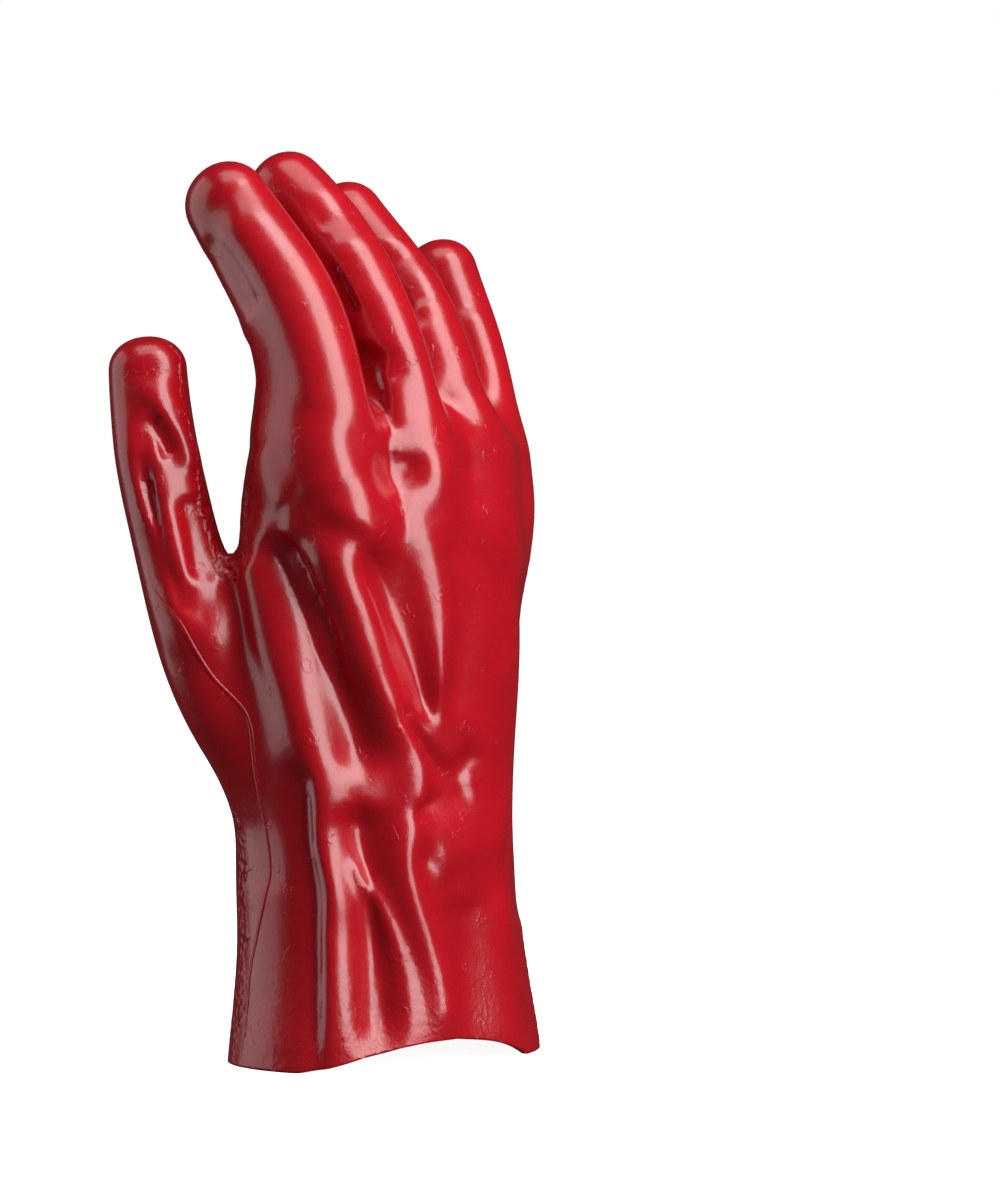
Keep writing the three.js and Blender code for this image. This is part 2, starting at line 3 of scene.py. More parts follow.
import bpy
import numpy as np
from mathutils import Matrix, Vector


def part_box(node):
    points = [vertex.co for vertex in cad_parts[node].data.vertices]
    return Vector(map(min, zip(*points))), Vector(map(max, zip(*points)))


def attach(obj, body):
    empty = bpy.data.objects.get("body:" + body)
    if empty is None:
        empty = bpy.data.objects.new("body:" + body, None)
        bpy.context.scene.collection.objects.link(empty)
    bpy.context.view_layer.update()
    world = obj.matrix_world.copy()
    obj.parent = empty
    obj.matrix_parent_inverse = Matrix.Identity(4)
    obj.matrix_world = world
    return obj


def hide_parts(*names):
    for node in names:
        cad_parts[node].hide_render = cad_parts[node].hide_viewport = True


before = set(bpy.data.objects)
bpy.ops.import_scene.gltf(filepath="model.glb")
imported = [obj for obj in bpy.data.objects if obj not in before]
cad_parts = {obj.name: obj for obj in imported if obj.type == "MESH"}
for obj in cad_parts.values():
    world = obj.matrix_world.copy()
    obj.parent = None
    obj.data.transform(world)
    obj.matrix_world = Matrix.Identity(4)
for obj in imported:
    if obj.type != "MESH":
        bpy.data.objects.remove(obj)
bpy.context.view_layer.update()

# Glove skin
# A knitted cotton hand dipped whole in red PVC, so one skin runs from the fingertips to the open hem.
# The back is smooth and glossy, the palm side carries a coarse crumb, and long folds run to the wrist.

CUFF_LENGTH, PALM_LENGTH = 70.0, 104.0  # millimetres, hem to wrist and wrist to finger roots
CUFF_WIDTH, CUFF_DEPTH = 102.0, 70.0
WRIST_WIDTH, WRIST_DEPTH = 92.0, 66.0
PALM_WIDTH, PALM_DEPTH = 104.0, 52.0
DIGIT_LENGTH = {"index": 92.0, "middle": 98.0, "ring": 88.0, "little": 64.0, "thumb": 152.0}
FINGER_WIDTH, FINGER_DEPTH = 24.0, 30.0
WALL = 1.6
HEM_ARCH, HEM_ARCH_SPAN, HEM_ARCH_X = 8.0, 76.0, -12.0
WEB = 12.0  # rounding between the digits and the palm
THUMB_WEB = 9.0
MESH_STEP = 1.55
COARSE = 4  # steps of the fine grid in one of the coarse grid

# Hand and cuff, a row for each section: level (0 hem, 1 wrist, 2 finger roots), shift to the side and
# towards the palm (shares of the palm), width and depth (shares of the size at that level).
BODY = [
    (-0.15, -0.005, 0.02, 1.00, 1.00),
    (0.00, -0.005, 0.02, 1.00, 1.00),
    (0.45, -0.010, 0.04, 0.94, 0.97),
    (0.80, -0.015, 0.05, 0.96, 0.98),
    (1.15, -0.015, 0.05, 0.99, 1.00),
    (1.50, -0.015, 0.02, 0.98, 1.04),
    (1.80, -0.010, 0.00, 0.97, 0.98),
    (2.00, 0.000, -0.04, 0.93, 0.78),
]

# Digits: place of the buried root (shares of the palm, and a level), width and depth (shares of a
# finger's), and the turn about the digit's own length in degrees.
DIGITS = {
    "index": (-0.335, -0.14, 1.55, 0.98, 1.00, 0.0),
    "middle": (-0.065, -0.20, 1.55, 0.92, 0.90, 0.0),
    "ring": (0.200, -0.07, 1.55, 0.90, 0.87, 0.0),
    "little": (0.415, 0.08, 1.55, 0.88, 0.80, 0.0),
    "thumb": (-0.260, 0.13, 0.95, 1.04, 0.77, -50.0),
}

# Each digit's sections: share of its length, lean to the side and curl to the palm in degrees, and
# shares of its width and depth.
SECTIONS = {
    "index": [
        (0.00, -2, 0, 0.80, 0.90),
        (0.25, -2, 2, 1.00, 1.30),
        (0.42, 1, 6, 1.06, 1.22),
        (0.62, 0, 19, 1.04, 1.12),
        (0.82, -8, 34, 1.00, 1.00),
        (1.00, -9, 34, 0.94, 0.86),
    ],
    "middle": [
        (0.00, 0, 0, 0.80, 0.90),
        (0.25, 0, 2, 1.00, 1.30),
        (0.42, 0, 8, 1.00, 1.20),
        (0.62, -3, 23, 1.00, 1.05),
        (0.82, -5, 38, 1.00, 1.00),
        (1.00, -5, 50, 0.98, 0.92),
    ],
    "ring": [
        (0.00, 1, 0, 0.80, 0.90),
        (0.25, 1, 2, 1.00, 1.30),
        (0.42, 0, 8, 1.00, 1.20),
        (0.62, -2, 23, 1.00, 1.05),
        (0.82, -5, 41, 1.00, 1.00),
        (1.00, -5, 40, 0.97, 0.90),
    ],
    "little": [
        (0.00, 5, 0, 0.80, 0.90),
        (0.25, 5, 2, 1.00, 1.30),
        (0.42, 4, 8, 1.00, 1.20),
        (0.62, 3, 16, 1.00, 1.05),
        (0.82, 2, 24, 1.00, 1.00),
        (1.00, 2, 22, 0.97, 0.90),
    ],
    "thumb": [
        (0.00, -29, 22, 0.90, 1.20),
        (0.25, -23, 20, 1.00, 1.20),
        (0.50, -8, 12, 1.00, 1.15),
        (0.75, -6, 11, 0.98, 1.05),
        (1.00, 4, 8, 0.90, 0.90),
    ],
}

# Folds: reach (half the width) and rise (below 0 for a valley) as shares of the palm's width, and a path
# of points: the part of the hand, how far along it, and the turn round it in degrees, 0 at the back of
# the hand, 90 at the little finger's side and 180 on the palm.
FOLDS = [
    # back of the hand
    (0.21, 0.036, [
        ("body", 1.75, -100), ("body", 1.66, -94), ("body", 1.51, -88), ("body", 1.37, -80),
        ("body", 1.23, -74), ("body", 1.1, -69), ("body", 0.95, -69), ("body", 0.75, -65),
        ("body", 0.55, -66), ("body", 0.3, -66), ("body", -0.1, -66),
    ]),
    (0.21, -0.052, [
        ("body", 1.82, -90), ("body", 1.71, -80), ("body", 1.57, -71), ("body", 1.41, -64),
        ("body", 1.26, -56), ("body", 1.1, -50),
    ]),
    (0.21, 0.036, [
        ("index", 0.23, -39), ("index", 0.13, -31), ("body", 1.57, -57), ("body", 1.41, -49),
        ("body", 1.29, -40), ("body", 1.19, -30), ("body", 1.07, -30), ("body", 0.89, -35),
        ("body", 0.71, -33), ("body", 0.48, -26), ("body", 0.26, -21), ("body", -0.1, -20),
    ]),
    (0.19, -0.034, [
        ("index", 0.2, -15), ("body", 1.65, -47), ("body", 1.52, -35), ("body", 1.38, -25),
        ("body", 1.25, -17),
    ]),
    (0.17, 0.02, [
        ("body", 1.85, -45), ("body", 1.8, -32), ("body", 1.72, -22), ("body", 1.59, -16),
        ("body", 1.43, -16), ("body", 1.24, -14),
    ]),
    (0.15, -0.012, [
        ("body", 1.83, -17), ("body", 1.7, -4), ("body", 1.56, 2), ("body", 1.4, 0),
        ("body", 1.25, -5),
    ]),
    # wrist
    (0.09, -0.02, [
        ("body", 1.3, -35), ("body", 1.21, -24), ("body", 1.13, -10), ("body", 1.14, 4),
        ("body", 1.22, 17),
    ]),
    (0.09, -0.014, [("body", 1.03, -29), ("body", 1.07, -11), ("body", 1.11, 10)]),
    (0.2, 0.016, [
        ("body", 0.84, -24), ("body", 0.88, -4), ("body", 0.91, 24), ("body", 0.9, 38),
    ]),
    # cuff
    (0.21, -0.044, [
        ("body", 1.08, -54), ("body", 0.9, -52), ("body", 0.66, -49), ("body", 0.41, -48),
        ("body", -0.1, -47),
    ]),
    (0.16, 0.007, [
        ("body", 0.82, -55), ("body", 0.68, -47), ("body", 0.51, -40), ("body", 0.3, -34),
        ("body", -0.1, -32),
    ]),
    (0.13, -0.008, [
        ("body", 1.13, -74), ("body", 0.94, -73), ("body", 0.71, -71), ("body", 0.46, -71),
        ("body", -0.1, -70),
    ]),
    (0.21, 0.01, [("body", 0.78, -97), ("body", 0.5, -93), ("body", -0.1, -87)]),
    (0.21, -0.014, [("body", 0.71, -1), ("body", 0.41, 1), ("body", -0.1, -2)]),
    (0.21, 0.012, [("body", 0.72, 30), ("body", 0.38, 30), ("body", -0.1, 24)]),
    # knuckles
    (0.16, 0.022, [
        ("index", 1.0, -69), ("index", 0.92, -56), ("index", 0.82, -55), ("index", 0.73, -55),
        ("index", 0.65, -50), ("index", 0.58, -43), ("index", 0.49, -46), ("index", 0.4, -47),
        ("index", 0.32, -43), ("index", 0.29, -38),
    ]),
    (0.16, 0.022, [
        ("index", 0.47, -46), ("index", 0.4, -47), ("index", 0.32, -43), ("index", 0.27, -29),
        ("index", 0.24, -13), ("index", 0.22, 12), ("body", 1.86, -38), ("body", 1.91, -28),
        ("middle", 0.32, -9), ("middle", 0.38, -5),
    ]),
    (0.17, -0.015, [
        ("index", 0.48, -2), ("index", 0.41, 0), ("index", 0.36, 11), ("body", 1.96, -46),
        ("body", 1.98, -37), ("middle", 0.37, -26),
    ]),
    (0.15, -0.012, [("body", 1.86, -104), ("body", 1.85, -91), ("body", 1.83, -80)]),
    # forefinger
    (0.15, -0.010, [
        ("index", 0.97, -125), ("index", 0.89, -111), ("index", 0.8, -108), ("index", 0.72, -110),
    ]),
    (0.13, 0.012, [("index", 0.42, -127), ("index", 0.33, -101), ("index", 0.29, -76)]),
    # middle finger
    (0.1, -0.009, [
        ("middle", 0.86, -58), ("middle", 0.86, -36), ("middle", 0.85, -8), ("middle", 0.84, 18),
    ]),
    (0.1, -0.01, [("middle", 0.78, -64), ("middle", 0.71, -64), ("middle", 0.65, -62)]),
    (0.1, 0.01, [
        ("middle", 0.83, -56), ("middle", 0.77, -57), ("middle", 0.71, -54), ("middle", 0.65, -49),
    ]),
    (0.15, -0.024, [
        ("middle", 0.6, -61), ("middle", 0.54, -78), ("middle", 0.45, -61), ("middle", 0.38, -51),
    ]),
    (0.07, 0.008, [("middle", 0.51, -45), ("middle", 0.46, -39), ("middle", 0.4, -37)]),
    # ring finger
    (0.09, -0.016, [
        ("ring", 0.47, -50), ("ring", 0.46, -40), ("ring", 0.43, -30), ("ring", 0.39, -24),
    ]),
    (0.14, -0.018, [("ring", 0.87, -29), ("ring", 0.75, -54), ("ring", 0.69, -57)]),
    (0.12, 0.014, [
        ("ring", 0.68, -52), ("ring", 0.61, -53), ("ring", 0.54, -52), ("ring", 0.48, -50),
    ]),
    # little finger
    (0.1, 0.012, [
        ("little", 0.87, -22), ("little", 0.75, -17), ("little", 0.61, -14), ("little", 0.45, -36),
    ]),
    # thumb
    (0.12, 0.02, [
        ("thumb", 0.94, -34), ("thumb", 0.86, -32), ("thumb", 0.79, -31), ("thumb", 0.72, -26),
        ("thumb", 0.66, -16), ("thumb", 0.6, -14), ("thumb", 0.53, -13), ("thumb", 0.49, -5),
        ("thumb", 0.46, 10), ("thumb", 0.47, 34), ("thumb", 0.5, 58), ("body", 1.66, -105),
        ("body", 1.74, -103), ("body", 1.81, -107),
    ]),
    (0.12, -0.018, [
        ("thumb", 0.82, -16), ("thumb", 0.73, -16), ("thumb", 0.63, -15), ("thumb", 0.53, -8),
    ]),
    (0.14, 0.016, [
        ("thumb", 0.86, 2), ("thumb", 0.76, -2), ("thumb", 0.65, -2), ("thumb", 0.54, 4),
    ]),
    (0.12, -0.02, [("thumb", 0.75, 33), ("thumb", 0.65, 30), ("thumb", 0.55, 23)]),
    (0.09, 0.016, [
        ("thumb", 0.99, -1), ("thumb", 0.94, 8), ("thumb", 0.9, 25), ("thumb", 0.86, 40),
        ("thumb", 0.81, 48), ("thumb", 0.77, 41),
    ]),
    (0.09, -0.02, [("thumb", 0.91, 2), ("thumb", 0.86, 12), ("thumb", 0.81, 25)]),
    # palm: its hollow, the folds at its heel, and the creases inside the joints
    (0.4, -0.03, [("body", 1.82, 156), ("body", 1.58, 158), ("body", 1.36, 166)]),
    (0.4, -0.034, [("body", 1.84, 174), ("body", 1.56, 176), ("body", 1.3, 178)]),
    (0.4, -0.03, [("body", 1.78, 194), ("body", 1.56, 194), ("body", 1.38, 190)]),
    (0.12, -0.02, [("body", 1.3, 222), ("body", 1.24, 196), ("body", 1.26, 168)]),
    (0.12, -0.014, [("body", 1.06, 204), ("body", 1.02, 180), ("body", 1.08, 154)]),
    (0.09, -0.016, [("index", 0.62, 136), ("index", 0.63, 180), ("index", 0.62, 224)]),
    (0.09, -0.016, [("middle", 0.62, 136), ("middle", 0.63, 180), ("middle", 0.62, 224)]),
    (0.09, -0.016, [("ring", 0.62, 136), ("ring", 0.63, 180), ("ring", 0.62, 224)]),
    (0.09, -0.016, [("little", 0.62, 136), ("little", 0.63, 180), ("little", 0.62, 224)]),
    (0.09, -0.014, [("thumb", 0.72, 130), ("thumb", 0.73, 180), ("thumb", 0.72, 230)]),
    # little finger's side of the hand, and the cuff below the palm
    (0.2, -0.018, [
        ("body", 1.7, 64), ("body", 1.4, 66), ("body", 1.1, 60), ("body", 0.8, 56),
        ("body", 0.5, 52),
    ]),
    (0.2, 0.016, [
        ("body", 1.3, 92), ("body", 0.96, 86), ("body", 0.6, 86), ("body", -0.1, 82),
    ]),
    (0.2, -0.02, [("body", 0.9, 122), ("body", 0.5, 126), ("body", -0.1, 122)]),
    (0.2, 0.014, [("body", 1.0, 158), ("body", 0.4, 154), ("body", -0.1, 156)]),
    (0.2, -0.016, [("body", 0.96, 206), ("body", 0.6, 202), ("body", -0.1, 206)]),
]

BODY_SECTIONS, DIGIT_SECTIONS = 90, 60
BODY_SQUARENESS, DIGIT_SQUARENESS = 2.35, 2.1
BODY_END, DIGIT_END = 16.0, 0.42  # rounding past the last section: millimetres, share of a digit's depth
FOLD_STEPS = 8
FOLD_FADE, FOLD_FADE_SHARE = 12.0, 0.2  # where a fold reaches its full height: millimetres, share of its length
FOLD_SPREAD = 12.0  # how far out a single fold falls to half its height
FOLD_POWER, FOLD_ROUNDNESS = 1.5, 0.07
FAR = 60.0


def smooth_rows(rows, count):
    """A smooth curve through rows of equal columns, sampled count times."""
    rows = np.array(rows, float)
    padded = np.vstack([2 * rows[0] - rows[1], rows, 2 * rows[-1] - rows[-2]])
    place = np.linspace(0, len(rows) - 1, count)
    start = np.minimum(place.astype(int), len(rows) - 2)
    f = (place - start)[:, None]
    a, b, c, d = (padded[start + k] for k in range(4))
    return 0.5 * (2 * b + (c - a) * f + (2 * a - 5 * b + 4 * c - d) * f**2 + (3 * b - a - 3 * c + d) * f**3)


def height_of(level):
    return CUFF_LENGTH * np.minimum(level, 1) + PALM_LENGTH * np.maximum(np.asarray(level) - 1, 0)


def size_at(level, cuff, wrist, palm):
    return np.interp(level, [0, 1, 2], [cuff, wrist, palm])


def hand_chain():
    """The hand and cuff as a chain of sections: centres, directions and half sizes."""
    along, shift_x, shift_y, width, depth = smooth_rows(BODY, BODY_SECTIONS).T
    count = len(along)
    return {
        "along": along,
        "centre": np.stack([shift_x * PALM_WIDTH, shift_y * PALM_DEPTH, height_of(along)], 1),
        "side": np.tile([1.0, 0.0, 0.0], (count, 1)),
        "front": np.tile([0.0, 1.0, 0.0], (count, 1)),
        "wide": width * size_at(along, CUFF_WIDTH, WRIST_WIDTH, PALM_WIDTH) / 2,
        "deep": depth * size_at(along, CUFF_DEPTH, WRIST_DEPTH, PALM_DEPTH) / 2,
        "end": BODY_END,
        "squareness": BODY_SQUARENESS,
    }


def digit_chain(name):
    """A digit as a chain: it starts inside the hand and bends as its rows say."""
    root_x, root_y, level, wide_share, deep_share, twist = DIGITS[name]
    width, depth = wide_share * FINGER_WIDTH, deep_share * FINGER_DEPTH
    end = DIGIT_END * depth
    buried = height_of(2) - height_of(level) if level > 1 else 0
    length = buried + DIGIT_LENGTH[name] - end
    along, lean, curl, wide, deep = smooth_rows(SECTIONS[name], DIGIT_SECTIONS).T
    lean, curl, twist = np.radians(lean), np.radians(curl), math.radians(twist)
    up = np.stack([np.sin(lean), np.cos(lean) * np.sin(curl), np.cos(lean) * np.cos(curl)], 1)
    step = length * np.diff(along)[:, None] / 2
    root = np.array([root_x * PALM_WIDTH, root_y * PALM_DEPTH, height_of(level)])
    centre = root + np.vstack([np.zeros(3), np.cumsum(step * (up[:-1] + up[1:]), 0)])
    turned = np.array([math.cos(twist), math.sin(twist), 0.0])
    side = turned - (up @ turned)[:, None] * up
    side /= np.linalg.norm(side, axis=1, keepdims=True)
    return {
        "along": along,
        "centre": centre,
        "side": side,
        "front": np.cross(up, side),
        "wide": wide * width / 2,
        "deep": deep * depth / 2,
        "end": end,
        "squareness": DIGIT_SQUARENESS,
    }


CHAINS = {"body": hand_chain(), **{name: digit_chain(name) for name in DIGITS}}


def chain_distance(points, chain):
    """Distance, below 0 inside, from each point to the skin of a chain."""
    centre, end, power = chain["centre"], chain["end"], chain["squareness"]
    squares = (centre**2).sum(1)
    nearest = np.empty(len(points), int)
    for first in range(0, len(points), 60000):
        part = points[first : first + 60000]
        nearest[first : first + 60000] = np.argmin(squares - 2 * part @ centre.T, 1)
    distance = np.full(len(points), FAR)
    for offset in (-1, 0):
        i = np.clip(nearest + offset, 0, len(centre) - 2)
        along_to = centre[i + 1] - centre[i]
        length = np.linalg.norm(along_to, axis=1)
        from_start = points - centre[i]
        t = (from_start * along_to).sum(1) / length**2
        inside = np.clip(t, 0, 1)
        rest = from_start - inside[:, None] * along_to
        mix = {key: chain[key][i] for key in ("side", "front", "wide", "deep")}
        for key in mix:
            share = inside[:, None] if mix[key].ndim == 2 else inside
            mix[key] = mix[key] + (chain[key][i + 1] - mix[key]) * share
        u = np.abs((rest * mix["side"]).sum(1)) / mix["wide"]
        v = np.abs((rest * mix["front"]).sum(1)) / mix["deep"]
        w = np.abs((t - inside) * length) / end
        scale = np.maximum((u**power + v**power + w**power) ** (1 / power), 1e-6)
        q = power - 1
        steep = np.sqrt((u**q / mix["wide"]) ** 2 + (v**q / mix["deep"]) ** 2 + (w**q / end) ** 2) * scale**-q
        distance = np.minimum(distance, (scale - 1) / np.maximum(steep, 1e-6))
    return distance


def skin_point(name, along, turn):
    """A point on a chain's skin, by its place along it and its turn round it."""
    chain = CHAINS[name]
    i = int(np.clip(np.searchsorted(chain["along"], along) - 1, 0, len(chain["along"]) - 2))
    t = float(np.clip((along - chain["along"][i]) / (chain["along"][i + 1] - chain["along"][i]), 0, 1))
    centre, side, front, wide, deep = (
        chain[key][i] + (chain[key][i + 1] - chain[key][i]) * t for key in ("centre", "side", "front", "wide", "deep")
    )
    u, v = math.sin(math.radians(turn)), -math.cos(math.radians(turn))
    power = chain["squareness"]
    k = (abs(u / wide) ** power + abs(v / deep) ** power) ** (-1 / power)
    return centre + side * u * k + front * v * k


def fold_line(path):
    return smooth_rows([skin_point(*place) for place in path], FOLD_STEPS * (len(path) - 1) + 1)


# each fold's reach, rise, line and parts: one that lies on a single digit doesn't reach its neighbour
FOLD_LINES = [
    (reach * PALM_WIDTH, rise * PALM_WIDTH, fold_line(path), {place[0] for place in path})
    for reach, rise, path in FOLDS
]


def line_distance(points, line):
    """Distance from each point to a line of points, and the share along it of the nearest place."""
    least = np.full(len(points), 1e6)
    place = np.zeros(len(points))
    for i in range(len(line) - 1):
        step = line[i + 1] - line[i]
        t = np.clip((points - line[i]) @ step / (step @ step), 0, 1)
        square = ((points - line[i] - t[:, None] * step) ** 2).sum(1)
        closer = square < least
        least[closer] = square[closer]
        place[closer] = (i + t[closer]) / (len(line) - 1)
    return np.sqrt(least), place


def fold_pull(points, depth, digit=None):
    """What the folds of one digit, or those that belong to no single digit, lift the skin by at each
    point, and their weight."""
    lift, weight = np.zeros(len(points)), np.zeros(len(points))
    for reach, rise, line, parts in FOLD_LINES:
        owner = next(iter(parts)) if len(parts) == 1 and "body" not in parts else None
        if owner != digit:
            continue
        near = ((points > line.min(0) - reach) & (points < line.max(0) + reach)).all(1)
        if not near.any():
            continue
        distance, place = line_distance(points[near], line)
        distance = np.sqrt(np.maximum(distance**2 - depth[near] ** 2, 0) + (FOLD_ROUNDNESS * reach) ** 2)
        pull = np.maximum(1 / distance - 1 / reach, 0) ** FOLD_POWER
        length = np.linalg.norm(np.diff(line, axis=0), axis=1).sum()
        fade = np.clip(np.minimum(place, 1 - place) / min(FOLD_FADE / length, FOLD_FADE_SHARE), 0, 1)
        lift[near] += rise * pull * fade * fade * (3 - 2 * fade)
        weight[near] += pull
    return lift, weight


def rounding(a, b, width):
    overlap = np.maximum(width - np.abs(a - b), 0)
    return overlap**2 / (4 * width)


def glove_distance(points):
    """Distance from each point to the glove's outer skin, with crests, valleys and flat flanks between."""
    hand = chain_distance(points, CHAINS["body"])
    skin, digits = hand.copy(), []
    for name in DIGITS:
        chain = CHAINS[name]
        reach = max(chain["wide"].max(), chain["deep"].max()) + 14
        near = ((points > chain["centre"].min(0) - reach) & (points < chain["centre"].max(0) + reach)).all(1)
        if near.any():
            own = chain_distance(points[near], chain)
            web = THUMB_WEB if name == "thumb" else WEB
            joined = np.minimum(hand[near], own) - rounding(hand[near], own, web)
            skin[near] = np.minimum(skin[near], joined)
            digits.append((name, near, joined))
    lift, weight = fold_pull(points, skin)
    weight += FOLD_SPREAD**-FOLD_POWER
    lifted = hand - lift / weight
    for name, near, joined in digits:
        own_lift, own_weight = fold_pull(points[near], joined, name)
        lifted[near] = np.minimum(lifted[near], joined - (lift[near] + own_lift) / (weight[near] + own_weight))
    return lifted


def grid_skin(step):
    """The outer skin as quads, one for each edge of a fine grid that it crosses, drawn to the skin."""
    reach = 18.0
    low = np.min([chain["centre"].min(0) for chain in CHAINS.values()], 0) - [62, 44, 0]
    high = np.max([chain["centre"].max(0) for chain in CHAINS.values()], 0) + [62, 30, reach]
    low[2] = -8 * step
    count = (np.ceil((high - low) / (step * COARSE)).astype(int) + 1) * COARSE
    coarse_axes = [low[k] + step * COARSE * np.arange(count[k] // COARSE + 1) for k in range(3)]
    coarse = np.stack(np.meshgrid(*coarse_axes, indexing="ij"), -1)
    values = glove_distance(coarse.reshape(-1, 3)).reshape(coarse.shape[:3])
    for axis in range(3):
        values = np.moveaxis(values, axis, 0)
        finer = np.empty((COARSE * (len(values) - 1), *values.shape[1:]))
        for k in range(COARSE):
            finer[k::COARSE] = values[:-1] + (values[1:] - values[:-1]) * (k / COARSE)
        values = np.moveaxis(finer, 0, axis)
    band = np.abs(values) < 1.6 * step * COARSE
    index = np.argwhere(band)
    values[band] = glove_distance(low + index * step)
    values[:, :, 0] = np.maximum(values[:, :, 0], step)

    inside = values < 0
    shape = np.array(values.shape) - 1
    total = np.zeros((*shape, 3))
    crossings = np.zeros(shape, int)
    corners = [(a, b, c) for a in (0, 1) for b in (0, 1) for c in (0, 1)]
    for a in corners:
        for axis in range(3):
            if a[axis]:
                continue
            b = list(a)
            b[axis] = 1
            here = values[tuple(slice(a[k], a[k] + shape[k]) for k in range(3))]
            there = values[tuple(slice(b[k], b[k] + shape[k]) for k in range(3))]
            cross = (here < 0) != (there < 0)
            t = here[cross] / (here[cross] - there[cross])
            offset = np.tile(np.array(a, float), (len(t), 1))
            offset[:, axis] = t
            total[cross] += offset
            crossings[cross] += 1
    cells = np.argwhere(crossings > 0)
    picked = tuple(cells.T)
    vertices = low + step * (cells + total[picked] / crossings[picked][:, None])
    number = np.full(shape, -1)
    number[picked] = np.arange(len(cells))
    quads = []
    for axis in range(3):
        first = [slice(None)] * 3
        second = [slice(None)] * 3
        first[axis], second[axis] = slice(0, -1), slice(1, None)
        p, q = inside[tuple(first)], inside[tuple(second)]
        for outward in (True, False):
            edge = np.argwhere((p != q) & (p == outward))
            u, v = (axis + 1) % 3, (axis + 2) % 3
            ring = []
            for du, dv in ((1, 1), (0, 1), (0, 0), (1, 0)):
                cell = edge.copy()
                cell[:, u] -= du
                cell[:, v] -= dv
                ring.append(number[tuple(cell.T)])
            ring = np.stack(ring if outward else ring[::-1], 1)
            quads.append(ring)
    return vertices, np.vstack(quads)


def slope_of(points, reach=0.15):
    here = glove_distance(points)
    slope = np.empty_like(points)
    for axis in range(3):
        probe = points.copy()
        probe[:, axis] += reach
        slope[:, axis] = (glove_distance(probe) - here) / reach
    return here, slope


def settle(vertices, quads, passes=3):
    """Evens out the quads and draws their corners on to the skin."""
    edges = np.vstack([quads[:, [k, (k + 1) % 4]] for k in range(4)])
    for _ in range(passes):
        here, slope = slope_of(vertices)
        square = np.maximum((slope**2).sum(1), 0.05)[:, None]
        vertices = vertices - slope * here[:, None] / square
        total = np.zeros_like(vertices)
        count = np.zeros(len(vertices))
        for a, b in ((0, 1), (1, 0)):
            np.add.at(total, edges[:, a], vertices[edges[:, b]])
            np.add.at(count, edges[:, a], 1)
        pull = total / count[:, None] - vertices
        pull -= slope * (pull * slope).sum(1)[:, None] / square
        vertices = vertices + 0.5 * pull
    here, slope = slope_of(vertices)
    return vertices - slope * here[:, None] / np.maximum((slope**2).sum(1), 0.05)[:, None]


skin_vertices, skin_quads = grid_skin(MESH_STEP)
skin_vertices = settle(skin_vertices, skin_quads)
print("skin", len(skin_vertices), len(skin_quads))

glove_mesh = bpy.data.meshes.new("glove_skin")
glove_mesh.from_pydata(skin_vertices.tolist(), [], skin_quads.tolist())
glove = bpy.data.objects.new("glove_skin", glove_mesh)
bpy.context.scene.collection.objects.link(glove)

import bmesh

trim = bmesh.new()
trim.from_mesh(glove_mesh)
everything = trim.verts[:] + trim.edges[:] + trim.faces[:]
bmesh.ops.bisect_plane(trim, geom=everything, dist=1e-4, plane_co=(0, 0, 0), plane_no=(0, 0, 1), clear_inner=True)
trim.to_mesh(glove_mesh)
trim.free()
glove_mesh.update()

count = len(glove_mesh.vertices)
flat = np.empty(count * 3)
glove_mesh.vertices.foreach_get("co", flat)
skin = flat.reshape(-1, 3)

# the palm side, where the coating is crumbed: for each part, the turns between which its back is smooth
SMOOTH_BACK = {
    "body": (-104, 112),
    "index": (-140, 104),
    "middle": (-112, 104),
    "ring": (-112, 104),
    "little": (-112, 100),
    "thumb": (-142, 50),
}
CRUMB_EDGE = 14  # degrees over which the crumb sets in
palm_mask = np.zeros(count)
nearest_distance = np.full(count, 1e3)
for name, chain in CHAINS.items():
    own = np.abs(chain_distance(skin, chain))
    closer = own < nearest_distance
    nearest_distance[closer] = own[closer]
    i = np.argmin(((skin[closer][:, None, :] - chain["centre"][None]) ** 2).sum(2), 1)
    rest = skin[closer] - chain["centre"][i]
    u = (rest * chain["side"][i]).sum(1) / chain["wide"][i]
    v = (rest * chain["front"][i]).sum(1) / chain["deep"][i]
    turn = np.degrees(np.arctan2(u, -v))
    low, high = SMOOTH_BACK[name]
    palm_mask[closer] = np.clip(np.maximum(low - turn, turn - high) / CRUMB_EDGE, 0, 1)
attribute = glove_mesh.attributes.new("palm_side", "FLOAT", "POINT")
attribute.data.foreach_set("value", palm_mask)
hem_mask = np.clip(1 - skin[:, 2] / 34, 0, 1)
attribute = glove_mesh.attributes.new("near_hem", "FLOAT", "POINT")
attribute.data.foreach_set("value", hem_mask)

# the hem lifts a little at the back of the hand
across = np.clip(1 - ((skin[:, 0] - HEM_ARCH_X) / (HEM_ARCH_SPAN / 2)) ** 2, 0, 1)
back = np.clip((4 - skin[:, 1]) / 8, 0, 1)
lift = np.clip(1 - skin[:, 2] / 60, 0, 1) ** 2
skin[:, 2] += HEM_ARCH * across * back * back * (3 - 2 * back) * lift

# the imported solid's origin is under the middle of its box, so the skin is brought there too
solid_low, solid_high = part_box("glove_shell")
solid_middle = np.array([(solid_low[k] + solid_high[k]) / 2 for k in range(2)]) * 1000
skin_shift = solid_middle - (skin[:, :2].min(0) + skin[:, :2].max(0)) / 2
skin[:, :2] += skin_shift
glove_mesh.vertices.foreach_set("co", (skin * 0.001).ravel())
glove_mesh.shade_smooth()
glove_mesh.update()

wall = glove.modifiers.new("wall", "SOLIDIFY")
wall.thickness = WALL * 0.001
wall.offset = -1
wall.use_even_offset = False
wall.material_offset = 1

